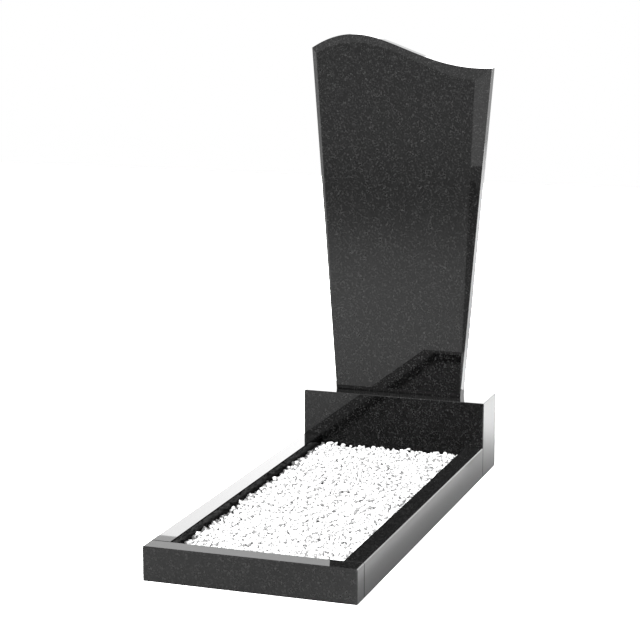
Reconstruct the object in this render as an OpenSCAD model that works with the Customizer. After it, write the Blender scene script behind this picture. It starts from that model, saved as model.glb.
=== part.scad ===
// Grave monument in polished stone: a headstone with a wave top stands on a base
// block, and three kerbs in front of the block frame a bed of gravel.
// Origin: centre of the footprint, at ground level. X runs across the grave,
// Y from its foot to its head, and Z up.

/* [Overall] */
// Width of the base block and of the kerb frame
plot_w = 750; // [600:1:1000]
// Length over the kerbs and the base block
plot_l = 1800; // [1400:1:2200]

/* [Kerbs] */
// Height of the kerbs above the ground
kerb_h = 120; // [90:1:180]
// Thickness of the kerb across the foot of the grave
front_kerb_t = 72; // [50:1:120]
// Thickness of the two kerbs along the sides
side_kerb_t = 72; // [50:1:120]
// Depth of the gravel's surface below the kerb tops
gravel_drop = 40; // [15:1:70]
// Width of the small chamfer on every polished arris
arris = 3; // [1:0.5:6]

/* [Base block] */
// Depth of the base block, front to back
base_d = 200; // [160:1:300]
// Height of the base block above the ground
base_h = 300; // [200:1:420]

/* [Headstone] */
// Thickness of the headstone, which stands centred on the base block
stone_t = 60; // [45:1:120]
// Width of the headstone at its foot
foot_w = 520; // [420:1:580]
// How far each side leans outwards per millimetre of height
side_lean = 0.0795; // [0:0.0005:0.085]
// Height of the left corner above the foot
left_corner_h = 1373; // [1100:1:1600]
// Height of the right corner above the foot
right_corner_h = 1306; // [1000:1:1600]
// Run of the wave's handle at the left corner, as a share of its span
crest_run = 0.345; // [0.2:0.005:0.5]
// Slope at which the wave leaves the left corner
crest_slope = 0.64; // [0:0.01:1]
// Run of the wave's handle at the right corner, as a share of its span
shoulder_run = 0.47; // [0.2:0.005:0.6]
// Slope at which the wave reaches the right corner
shoulder_slope = 0.05; // [-0.2:0.01:0.2]

/* [Front bevel] */
// Depth of the bevel at the top corners
bevel_d = 14; // [5:1:30]
// Width of the left bevel at the left corner
left_bevel_w = 22; // [15:1:80]
// Width of the right bevel at the right corner
right_bevel_w = 63; // [15:1:90]
// Width to which both side bevels narrow at the foot
foot_bevel_w = 3; // [1:0.5:12]
// Drop of the face's left corner below the stone's corner
left_bevel_drop = 22; // [10:1:60]
// Drop of the face's right corner below the stone's corner
right_bevel_drop = 45; // [10:1:80]
// Run of the right handle of the wave along the top of the polished face
face_shoulder_run = 0.31; // [0.2:0.005:0.5]
// Slope at which that wave reaches the face's right corner
face_shoulder_slope = 0; // [-0.2:0.01:0.2]

/* [Hidden] */
stone_colour = [0.16, 0.16, 0.17];
gravel_colour = [0.88, 0.88, 0.86];

front_y = -plot_l / 2;
back_y = plot_l / 2;
base_front_y = back_y - base_d;
bed_front_y = front_y + front_kerb_t;
bed_w = plot_w - 2 * side_kerb_t;
bed_l = base_front_y - bed_front_y;
gravel_top = kerb_h - gravel_drop;
stone_back_y = back_y - (base_d - stone_t) / 2;
stone_front_y = stone_back_y - stone_t;
// Straight steps that make up the wave
wave_steps = 144;

// ---- blocks ----------------------------------------------------------------

// Rectangle from the origin with its four corners cut off at 45 degrees
module cut_rect(w, h) {
    polygon([[arris, 0], [w - arris, 0], [w, arris], [w, h - arris],
             [w - arris, h], [arris, h], [0, h - arris], [0, arris]]);
}

// Sawn and polished block standing on the ground: its upright and top edges
// have a small chamfer. The two upright sections reach one chamfer below the
// ground, where the flat section stops them, so the bottom edges stay square.
module block(size) {
    intersection() {
        linear_extrude(size.z) cut_rect(size.x, size.y);
        translate([0, size.y, -arris]) rotate([90, 0, 0])
            linear_extrude(size.y) cut_rect(size.x, size.z + arris);
        translate([0, 0, -arris]) rotate([90, 0, 90])
            linear_extrude(size.x) cut_rect(size.y, size.z + arris);
    }
}

module base_block() {
    color(stone_colour)
        translate([-plot_w / 2, base_front_y, 0]) block([plot_w, base_d, base_h]);
}

module front_kerb() {
    color(stone_colour)
        translate([-plot_w / 2, front_y, 0]) block([plot_w, front_kerb_t, kerb_h]);
}

// The side kerbs butt between the front kerb and the base block.
module side_kerb(x) {
    color(stone_colour)
        translate([x, bed_front_y, 0]) block([side_kerb_t, bed_l, kerb_h]);
}

module left_kerb() {
    side_kerb(-plot_w / 2);
}

module right_kerb() {
    side_kerb(plot_w / 2 - side_kerb_t);
}

module gravel_bed() {
    color(gravel_colour)
        translate([-bed_w / 2, bed_front_y, 0]) cube([bed_w, bed_l, gravel_top]);
}

// ---- headstone -------------------------------------------------------------

// Half the width of the stone at height z above its foot
function half_w(z) = foot_w / 2 + side_lean * z;

// Point at share t along a cubic curve with the four control points q
function cubic(q, t) =
    pow(1 - t, 3) * q[0] + 3 * pow(1 - t, 2) * t * q[1]
    + 3 * (1 - t) * t * t * q[2] + pow(t, 3) * q[3];

// The wave between the corners a and b. Its handles run along the given
// [run, slope] at each end, where run is a share of the wave's span.
function wave(a, b, crest, shoulder, t) =
    let (span = b.x - a.x)
    cubic([a, a + span * crest[0] * [1, crest[1]],
           b - span * shoulder[0] * [1, shoulder[1]], b], t);

// Outline of a face of the stone, as points [x, z]: from the left corner along
// the wave to the right corner, then down to the foot's right and left ends.
// The corners are set in by [width, drop] and the foot's ends by [width, rise].
function outline(left_in, right_in, foot_in, shoulder = [shoulder_run, shoulder_slope]) =
    let (a = [-half_w(left_corner_h) + left_in.x, left_corner_h - left_in.y],
         b = [half_w(right_corner_h) - right_in.x, right_corner_h - right_in.y])
    [for (i = [0:wave_steps])
         wave(a, b, [crest_run, crest_slope], shoulder, i / wave_steps),
     [foot_w / 2 - foot_in.x, foot_in.y],
     [-foot_w / 2 + foot_in.x, foot_in.y]];

// Depth of the bevel's outer edge at the foot, which keeps each side bevel flat
function foot_bevel_d(bevel_w) = bevel_d * foot_bevel_w / bevel_w;

// Rings of points around the stone, from its polished face to its back. The
// face and the back start one arris above the foot, which leaves a fine dark
// joint along the base.
function face_ring() =
    let (o = outline([left_bevel_w, left_bevel_drop], [right_bevel_w, right_bevel_drop],
                     [foot_bevel_w, arris], [face_shoulder_run, face_shoulder_slope]))
    [for (p = o) [p.x, 0, p.y]];

function edge_ring() =
    let (o = outline([0, 0], [0, 0], [0, 0]))
    [for (i = [0:len(o) - 1])
        let (depth = i <= wave_steps ? bevel_d
                   : i == wave_steps + 1 ? foot_bevel_d(right_bevel_w)
                   : foot_bevel_d(left_bevel_w))
        [o[i].x, depth, o[i].y]];

function side_ring() =
    let (o = outline([0, 0], [0, 0], [0, 0]))
    [for (p = o) [p.x, stone_t - arris, p.y]];

function back_ring() =
    let (o = outline([arris, arris], [arris, arris], [arris, arris]))
    [for (p = o) [p.x, stone_t, p.y]];

// Closed solid through rings with the same number of points. Both ends are
// fans of triangles from a ring's last point, which sees all the others.
module skin(rings) {
    n = len(rings[0]);
    last = (len(rings) - 1) * n;
    sides = [for (r = [0:len(rings) - 2], i = [0:n - 1])
        let (a = r * n + i, b = r * n + (i + 1) % n)
        each [[a, b, b + n], [a, b + n, a + n]]];
    front = [for (i = [0:n - 3]) [n - 1, i + 1, i]];
    back = [for (i = [last:last + n - 3]) [last + n - 1, i, i + 1]];
    polyhedron([for (ring = rings) each ring], concat(front, sides, back), convexity = 4);
}

module headstone() {
    color(stone_colour)
        translate([0, stone_front_y, base_h])
            skin([face_ring(), edge_ring(), side_ring(), back_ring()]);
}

headstone();
base_block();
front_kerb();
left_kerb();
right_kerb();
gravel_bed();
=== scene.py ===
"""Looks of the grave monument: polished black granite around a bed of white stone chips."""
import math

import bmesh
import bpy
import numpy as np
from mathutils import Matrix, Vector


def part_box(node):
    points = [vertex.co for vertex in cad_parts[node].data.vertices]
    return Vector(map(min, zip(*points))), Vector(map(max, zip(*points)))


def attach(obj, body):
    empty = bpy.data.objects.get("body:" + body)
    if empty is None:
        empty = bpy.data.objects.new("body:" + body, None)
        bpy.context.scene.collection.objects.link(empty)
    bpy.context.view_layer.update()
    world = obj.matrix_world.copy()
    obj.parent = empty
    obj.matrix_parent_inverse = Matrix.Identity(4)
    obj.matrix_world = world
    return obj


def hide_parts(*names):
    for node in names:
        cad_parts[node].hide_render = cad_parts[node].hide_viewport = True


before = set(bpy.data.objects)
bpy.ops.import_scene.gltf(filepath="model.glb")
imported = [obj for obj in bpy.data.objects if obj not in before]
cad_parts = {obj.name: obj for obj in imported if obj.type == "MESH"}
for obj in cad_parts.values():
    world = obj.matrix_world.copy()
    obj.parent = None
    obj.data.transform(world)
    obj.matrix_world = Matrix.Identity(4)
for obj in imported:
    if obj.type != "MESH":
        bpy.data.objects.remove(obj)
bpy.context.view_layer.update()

STONES = ["headstone", "base_block", "front_kerb", "left_kerb", "right_kerb"]

# ---- camera, metres and degrees --------------------------------------------
CAMERA_PLACE = (2.206, -6.533, 2.085)
CAMERA_TURN = 19.16     # to the left of +Y
CAMERA_DOWN = 11.03
CAMERA_LENS = 109.2     # mm
CAMERA_SENSOR = 36      # mm

# ---- stone -----------------------------------------------------------------
GRAINS = 300.0          # in a metre
FLECKS = 170.0          # in a metre
GRAIN_TONES = [(0, 0.001), (0.5, 0.002), (0.8, 0.006), (1, 0.019)]
FLECK_TONES = [(0, 0.0), (0.85, 0.0), (0.93, 0.005), (1, 0.015)]
GRANITE_ROUGHNESS = 0.012
GRANITE_IOR = 1.50
# Chip greys: a few dark chips stand partly for grey stones and partly for painted shade of the
# gaps between chips.
CHIP_TONES_AND_GAP_SHADE = [(0, 0.42), (0.05, 0.80), (1, 0.90)]
CHIP_ROUGHNESS = 0.8
# Dark grey of the fill below the chips: painted shade that shows in the gaps between them.
GAP_SHADE_GREY = 0.06
MATT = 0.9              # roughness of the fill, the floor and the cards

# ---- gravel, metres --------------------------------------------------------
CELL = 0.002            # grid of the height map that the chips are dropped on
LAYER = 0.034           # depth that is filled with chips
CHIP_SINK = 0.003       # how far the chips' mean height lies below the CAD gravel's top
CHIP_LONG = (0.014, 0.026)
CHIP_MID = (0.70, 0.95)     # share of the length
CHIP_THIN = (0.45, 0.75)    # share of the length
CHIP_POINTS = 9
CHIP_BUMPS = (0.8, 1.15)    # how far its points lie from its middle, as a share
CHIP_KINDS = 260
CHIP_TILT = 28          # degrees that a chip lies off level, at most
CHIP_TRIES = 4
CHIP_SEEN = 4           # cells that a chip shows from above, at least, or it is left out
CHIP_CROWD = 4          # cells past the kerbs from which a chip is pushed back against them
FILL_CELL = 0.012       # grid of the fill below the chips
FILL_ROUGH = 0.004      # how far the fill goes up and down
GRAVEL_SEED = 11
FAR = 1.0               # past any chip: its top and underside before its faces cut them down
UPRIGHT = 1e-3          # upward part of a face's normal, below which the face counts as upright
TINY = 1e-12            # keeps the length of a normal above zero

# ---- stage, metres ---------------------------------------------------------
SKY_SHARE = 0.4         # how much of the surroundings' light the matt surfaces get
FLOOR_REACH = 60        # to the front and to the sides
FLOOR_BACK = 10
FLOOR_TONE = 0.8        # as the camera sees the floor
FLOOR_TONE_MIRRORED = 0.31  # as the polished stone and everything else see it
FLOOR_GLOW = 0.75       # as the camera sees the floor, which glows for nothing else
# The bed card is a painted reflection: a grey card at the gravel's surface that the polished stone
# shows in place of the white chips, which it doesn't mirror.
BED_CARD_Z = 0.083      # at the gravel's surface
BED_REFLECTION_GREY = 0.13
# The bevel card is a painted reflection: a dark grey card on the floor that only the polished
# stone shows, darkening the lower part of the headstone's right bevel.
BEVEL_CARD_NEAR = (0.65, -1.3, 0.002)   # middle of the card's near end
BEVEL_CARD_FAR = (1.65, -7.6, 0.002)
BEVEL_CARD_HALF_W = (0.3, 0, 0)
BEVEL_REFLECTION_GREY = 0.19

# ---- lights, metres and degrees --------------------------------------------
KEY_PLACE = (-2.9, -3.4, 4.8)   # it faces the origin, and the polished stone doesn't mirror it
KEY_SIZE = (1.6, 1.6)
KEY_BRIGHTNESS = 125
# Name, place, size, brightness and spread. They face down and light the floor alone.
FLOOR_LIGHTS = [
    ("front", (-8.0, -24, 5.5), (26, 32), 1.35, 90),
    ("near", (-0.9, -1.0, 2.5), (2.0, 2.0), 1.15, 90),
    ("back", (-3.0, 6.5, 5.0), (15, 7), 6.5, 80),
    ("side", (1.3, 0.1, 1.2), (1.2, 3.2), 8.5, 70),
    ("end", (0.8, 2.0, 1.0), (1.0, 1.4), 5.5, 60),
]
# Name, place, the point that it faces, size and brightness. The polished stone mirrors them.
PANELS = [
    ("back_low", (0, 9.0, 2.65), (0, 0, 2.65), (14, 1.6), 2.8),
    ("back_high", (0, 9.0, 4.2), (0, 0, 4.2), (14, 1.5), 0.55),
    ("left_panel", (-3.5, -0.1, 0.72), (0, -0.1, 0.72), (2.4, 1.45), 1.4),
    ("right_card", (1.24, -5.4, 0.92), (0.3, 0.8, 0.92), (1.2, 1.0), 0.85),
]


# ---- small helpers ---------------------------------------------------------

def new_material(name):
    """An empty node material: the material, its tree and its Principled shader."""
    material = bpy.data.materials.new(name)
    material.use_nodes = True
    tree = material.node_tree
    return material, tree, tree.nodes["Principled BSDF"]


def add_node(tree, kind, links=(), **values):
    """A node with its values set and its inputs linked. Both go by the input's name."""
    node = tree.nodes.new(kind)
    for name, value in values.items():
        if hasattr(node, name):
            setattr(node, name, value)
        else:
            node.inputs[name.replace("_", " ")].default_value = value
    for name, socket in links:
        tree.links.new(socket, node.inputs[name])
    return node


def ramp(tree, source, stops):
    """A colour ramp through grey stops given as (position, grey)."""
    node = add_node(tree, "ShaderNodeValToRGB", [("Fac", source)])
    elements = node.color_ramp.elements
    while len(elements) < len(stops):
        elements.new(0.5)
    for element, (position, grey) in zip(elements, stops):
        element.position = position
        element.color = (grey, grey, grey, 1)
    return node.outputs["Color"]


def by_ray(tree, ray, value, others):
    """A value for one kind of ray, such as Is Camera Ray, and another for all the others."""
    path = add_node(tree, "ShaderNodeLightPath")
    choice = add_node(tree, "ShaderNodeMapRange", [("Value", path.outputs[ray])],
                      To_Min=others, To_Max=value)
    return choice.outputs["Result"]


# ---- materials -------------------------------------------------------------

def random_tones(tree, place, cells, channel, stops):
    """A grey for each cell of a Voronoi pattern that has so many cells in a metre."""
    pattern = add_node(tree, "ShaderNodeTexVoronoi", [("Vector", place)], Scale=cells)
    colour = add_node(tree, "ShaderNodeSeparateColor", [("Color", pattern.outputs["Color"])])
    return ramp(tree, colour.outputs[channel], stops)


def granite():
    """Polished black granite: black ground, grey grains and scattered pale flecks."""
    material, tree, shader = new_material("granite")
    place = add_node(tree, "ShaderNodeTexCoord").outputs["Object"]
    ground = random_tones(tree, place, GRAINS, "Red", GRAIN_TONES)
    pale = random_tones(tree, place, FLECKS, "Green", FLECK_TONES)
    both = add_node(tree, "ShaderNodeMix", data_type="RGBA", blend_type="ADD")
    both.inputs["Factor"].default_value = 1.0
    tree.links.new(ground, both.inputs["A"])
    tree.links.new(pale, both.inputs["B"])
    tree.links.new(both.outputs["Result"], shader.inputs["Base Color"])
    shader.inputs["Roughness"].default_value = GRANITE_ROUGHNESS
    shader.inputs["IOR"].default_value = GRANITE_IOR
    return material


def chip_stone():
    """White crushed stone: each chip has its own tone, and all are matt. A few chips are darker
    grey, partly as grey stones and partly as painted shade for the dark gaps.
    """
    material, tree, shader = new_material("gravel")
    tone = add_node(tree, "ShaderNodeAttribute", attribute_name="tone").outputs["Fac"]
    tree.links.new(ramp(tree, tone, CHIP_TONES_AND_GAP_SHADE), shader.inputs["Base Color"])
    shader.inputs["Roughness"].default_value = CHIP_ROUGHNESS
    return material


def plain(name, grey):
    """One matt grey, for the painted shade in the gravel's gaps and for the cards of painted
    reflection in the polished stone.
    """
    material, tree, shader = new_material(name)
    shader.inputs["Base Color"].default_value = (grey, grey, grey, 1)
    shader.inputs["Roughness"].default_value = MATT
    return material


def floor_paint():
    """Matt pale paint, which looks lighter in the view than in the polished stone."""
    material, tree, shader = new_material("floor")
    tone = by_ray(tree, "Is Camera Ray", FLOOR_TONE, FLOOR_TONE_MIRRORED)
    glow = by_ray(tree, "Is Camera Ray", FLOOR_GLOW, 0.0)
    tree.links.new(tone, shader.inputs["Base Color"])
    tree.links.new(glow, shader.inputs["Emission Strength"])
    shader.inputs["Emission Color"].default_value = (1, 1, 1, 1)
    shader.inputs["Roughness"].default_value = MATT
    return material


# ---- gravel ----------------------------------------------------------------

def chip_shape(rng):
    """One angular chip around the origin: its vertices and triangles."""
    long = rng.uniform(*CHIP_LONG)
    size = np.array([1, rng.uniform(*CHIP_MID), rng.uniform(*CHIP_THIN)]) * long / 2
    points = rng.normal(size=(CHIP_POINTS, 3))
    points /= np.linalg.norm(points, axis=1)[:, None]
    points *= rng.uniform(*CHIP_BUMPS, size=(CHIP_POINTS, 1)) * size
    tilt = rng.uniform(0, math.radians(CHIP_TILT))
    lean, turn = rng.uniform(0, 2 * math.pi, 2)
    axis = np.array([math.cos(lean), math.sin(lean), 0])
    cross = np.cross(np.eye(3), axis)
    tipped = np.eye(3) + math.sin(tilt) * cross + (1 - math.cos(tilt)) * cross @ cross
    spun = np.array([[math.cos(turn), -math.sin(turn), 0],
                     [math.sin(turn), math.cos(turn), 0],
                     [0, 0, 1]])
    mesh = bmesh.new()
    for point in points @ (tipped @ spun).T:
        mesh.verts.new(point)
    bmesh.ops.convex_hull(mesh, input=mesh.verts)
    loose = [v for v in mesh.verts if not v.link_faces]
    bmesh.ops.delete(mesh, geom=loose, context="VERTS")
    bmesh.ops.triangulate(mesh, faces=mesh.faces)
    bmesh.ops.recalc_face_normals(mesh, faces=mesh.faces)
    mesh.verts.index_update()
    verts = np.array([v.co for v in mesh.verts])
    faces = np.array([[v.index for v in f.verts] for f in mesh.faces])
    mesh.free()
    return verts, faces


def chip_heights(verts, faces):
    """Where the cells under a chip begin, its underside and top there, and which it covers."""
    low = np.floor(verts[:, :2].min(0) / CELL).astype(int)
    high = np.ceil(verts[:, :2].max(0) / CELL).astype(int)
    x, y = np.meshgrid((np.arange(low[0], high[0]) + 0.5) * CELL,
                       (np.arange(low[1], high[1]) + 0.5) * CELL, indexing="ij")
    under, top = np.full(x.shape, -FAR), np.full(x.shape, FAR)
    inside = np.ones(x.shape, bool)
    centre = verts.mean(0)
    for a, b, c in verts[faces]:
        n = np.cross(b - a, c - a)
        if n @ (centre - a) > 0:
            n = -n
        n = n / (np.linalg.norm(n) + TINY)
        if abs(n[2]) < UPRIGHT:
            inside &= n[0] * (x - a[0]) + n[1] * (y - a[1]) <= 0
            continue
        z = a[2] - (n[0] * (x - a[0]) + n[1] * (y - a[1])) / n[2]
        if n[2] > 0:
            top = np.minimum(top, z)
        else:
            under = np.maximum(under, z)
    inside &= top > under
    return low, under, top, inside


def random_start(rng, cells, width):
    """The first of a chip's cells along one side of the bed. It stays between the kerbs."""
    start = rng.integers(-CHIP_CROWD, cells - width + CHIP_CROWD)
    return int(np.clip(start, 0, cells - width))


def drop_chips(rng, kinds, cells, floor_z, full_z):
    """Drops chips one by one, each in the lowest of a few random places, till the bed is full.

    Gives each chip that shows as its kind, its place in cells and its height.
    """
    heights = np.full(cells, floor_z)
    owner = np.full(cells, -1)
    chips = []
    area = cells[0] * cells[1]
    total = heights.sum()
    while total / area < full_z:
        kind = int(rng.integers(len(kinds)))
        low, under, top, inside = kinds[kind]["heights"]
        w, d = inside.shape
        best = None
        for _ in range(CHIP_TRIES):
            i = random_start(rng, cells[0], w)
            j = random_start(rng, cells[1], d)
            z = np.where(inside, heights[i:i + w, j:j + d] - under, -FAR).max()
            if best is None or z < best[0]:
                best = (z, i, j)
        z, i, j = best
        patch = heights[i:i + w, j:j + d]
        raised = inside & (z + top > patch)
        total += (z + top - patch)[raised].sum()
        patch[raised] = (z + top)[raised]
        owner[i:i + w, j:j + d][raised] = len(chips)
        chips.append((kind, i - low[0], j - low[1], z))
    seen = np.bincount(owner[owner >= 0], minlength=len(chips))
    return [chip for chip, cells_seen in zip(chips, seen) if cells_seen >= CHIP_SEEN]


def gap_shade_slab(low, high, rng):
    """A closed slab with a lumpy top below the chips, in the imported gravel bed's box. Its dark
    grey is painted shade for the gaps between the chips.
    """
    columns, rows = (int((high[k] - low[k]) / FILL_CELL) for k in (0, 1))
    places = [(i, j) for j in range(rows + 1) for i in range(columns + 1)]
    x = low.x + (high.x - low.x) * np.array([i for i, j in places]) / columns
    y = low.y + (high.y - low.y) * np.array([j for i, j in places]) / rows
    z = high.z - LAYER / 2 + rng.uniform(-FILL_ROUGH, FILL_ROUGH, len(places))
    number = {place: k for k, place in enumerate(places)}
    rim = ([(i, 0) for i in range(columns)] + [(columns, j) for j in range(rows)]
           + [(i, rows) for i in range(columns, 0, -1)] + [(0, j) for j in range(rows, 0, -1)])
    rim = [number[place] for place in rim]
    top = np.stack([x, y, z], axis=1)
    bottom = top[rim] * [1, 1, 0] + [0, 0, low.z]
    faces = [(number[i, j], number[i + 1, j], number[i + 1, j + 1], number[i, j + 1])
             for j in range(rows) for i in range(columns)]
    under = [len(places) + k for k in range(len(rim))]
    for k in range(len(rim)):
        after = (k + 1) % len(rim)
        faces.append((rim[k], under[k], under[after], rim[after]))
    faces.append(tuple(reversed(under)))
    return np.concatenate([top, bottom]), faces


def add_gravel_piece(name, verts, faces, material):
    """A mesh piece that lies still with the stones and takes the gravel's finish."""
    mesh = bpy.data.meshes.new(name)
    mesh.from_pydata(verts.tolist(), [], faces)
    mesh.materials.append(material)
    piece = bpy.data.objects.new(name, mesh)
    bpy.context.scene.collection.objects.link(piece)
    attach(piece, "root")
    return piece


def gravel():
    """The bed's loose chips, and the dark fill below them, whose grey is painted shade in the gaps
    between them.
    """
    low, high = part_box("gravel_bed")
    rng = np.random.default_rng(GRAVEL_SEED)
    kinds = []
    for _ in range(CHIP_KINDS):
        verts, faces = chip_shape(rng)
        kinds.append({"verts": verts, "faces": faces, "heights": chip_heights(verts, faces)})
    cells = (int((high.x - low.x) / CELL), int((high.y - low.y) / CELL))
    verts, faces, tones, count = [], [], [], 0
    for kind, i, j, z in drop_chips(rng, kinds, cells, high.z - LAYER, high.z - CHIP_SINK):
        shape = kinds[kind]
        verts.append(shape["verts"] + [low.x + i * CELL, low.y + j * CELL, z])
        faces.append(shape["faces"] + count)
        tones.append(np.full(len(shape["verts"]), rng.uniform()))
        count += len(shape["verts"])
    faces = np.concatenate(faces).tolist()
    chips = add_gravel_piece("gravel_chips", np.concatenate(verts), faces, chip_stone())
    tone = chips.data.attributes.new("tone", "FLOAT", "POINT")
    tone.data.foreach_set("value", np.concatenate(tones).astype(np.float32))
    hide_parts("gravel_bed")
    # The polished stone doesn't mirror the chips; the grey bed card is painted in their place as a
    # reflection.
    chips.visible_glossy = False
    # The dark fill below the chips is painted shade for the gaps between them.
    verts, faces = gap_shade_slab(low, high, rng)
    add_gravel_piece("gravel_gap_shade", verts, faces, plain("gravel_gap_shade", GAP_SHADE_GREY))


# ---- stage -----------------------------------------------------------------

def area_light(name, place, target, size, brightness, spread=180, mirrored=True, only=None):
    """A soft rectangular light that faces target, as bright as a white sheet times brightness.

    The polished stone shows it only where mirrored is true, and it lights everything
    or only the objects of one collection.
    """
    data = bpy.data.lights.new(name, "AREA")
    data.shape = "RECTANGLE"
    data.size, data.size_y = size
    data.spread = math.radians(spread)
    data.energy = brightness * math.pi * size[0] * size[1]
    light = bpy.data.objects.new(name, data)
    light.location = place
    light.rotation_mode = "QUATERNION"
    light.rotation_quaternion = (Vector(target) - Vector(place)).to_track_quat("-Z", "Y")
    light.visible_camera = False
    light.visible_glossy = mirrored
    if only:
        light.light_linking.receiver_collection = only
    bpy.context.scene.collection.objects.link(light)


def stage_sheet(name, corners, material):
    """A flat sheet with four corners that isn't part of the object."""
    mesh = bpy.data.meshes.new(name)
    mesh.from_pydata(corners, [], [(0, 1, 2, 3)])
    mesh.materials.append(material)
    sheet = bpy.data.objects.new(name, mesh)
    bpy.context.scene.collection.objects.link(sheet)
    return sheet


def mirrored_card(name, corners, grey):
    """A card that only the polished stone shows, as a painted reflection. It blocks no light."""
    card = stage_sheet(name, corners, plain(name, grey))
    card.visible_camera = False
    card.visible_diffuse = False
    card.visible_shadow = False


def white_world():
    """White surroundings, which light the matt surfaces less than they show in the stone."""
    world = bpy.data.worlds.new("studio")
    world.use_nodes = True
    tree = world.node_tree
    sky = tree.nodes["Background"]
    sky.inputs["Color"].default_value = (1, 1, 1, 1)
    strength = by_ray(tree, "Is Diffuse Ray", SKY_SHARE, 1.0)
    tree.links.new(strength, sky.inputs["Strength"])
    return world


def studio():
    """Pale floor, white surroundings, cards of painted reflection and soft lights."""
    scene = bpy.context.scene
    scene.view_settings.view_transform = "Standard"
    scene.world = white_world()
    floor = stage_sheet("floor", [(-FLOOR_REACH, -FLOOR_REACH, 0), (FLOOR_REACH, -FLOOR_REACH, 0),
                                  (FLOOR_REACH, FLOOR_BACK, 0), (-FLOOR_REACH, FLOOR_BACK, 0)],
                        floor_paint())
    # Painted reflection: a dark card that darkens the lower right bevel in the polished stone.
    near, far, half = Vector(BEVEL_CARD_NEAR), Vector(BEVEL_CARD_FAR), Vector(BEVEL_CARD_HALF_W)
    mirrored_card("bevel_reflection_card", [near - half, near + half, far + half, far - half],
                  BEVEL_REFLECTION_GREY)
    # Painted reflection of the gravel: a grey card that only the polished stone shows.
    low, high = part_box("gravel_bed")
    mirrored_card("bed_reflection_card", [(low.x, low.y, BED_CARD_Z), (high.x, low.y, BED_CARD_Z),
                               (high.x, high.y, BED_CARD_Z), (low.x, high.y, BED_CARD_Z)],
                  BED_REFLECTION_GREY)
    floor_only = bpy.data.collections.new("floor_only")
    floor_only.objects.link(floor)
    area_light("key", KEY_PLACE, (0, 0, 0), KEY_SIZE, KEY_BRIGHTNESS, mirrored=False)
    for name, place, size, brightness, spread in FLOOR_LIGHTS:
        area_light(name, place, (place[0], place[1], 0), size, brightness, spread, only=floor_only)
    for name, place, target, size, brightness in PANELS:
        area_light(name, place, target, size, brightness)


def camera():
    """A long lens that looks down on the grave from its front right."""
    data = bpy.data.cameras.new("camera")
    data.lens = CAMERA_LENS
    data.sensor_width = CAMERA_SENSOR
    cam = bpy.data.objects.new("camera", data)
    cam.location = CAMERA_PLACE
    cam.rotation_euler = (math.radians(90 - CAMERA_DOWN), 0, math.radians(CAMERA_TURN))
    bpy.context.scene.collection.objects.link(cam)
    bpy.context.scene.camera = cam


def polish_stones():
    """The five stones keep their CAD meshes and get one granite."""
    stone = granite()
    for name in STONES:
        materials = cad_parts[name].data.materials
        materials.clear()
        materials.append(stone)


camera()
studio()
polish_stones()
gravel()
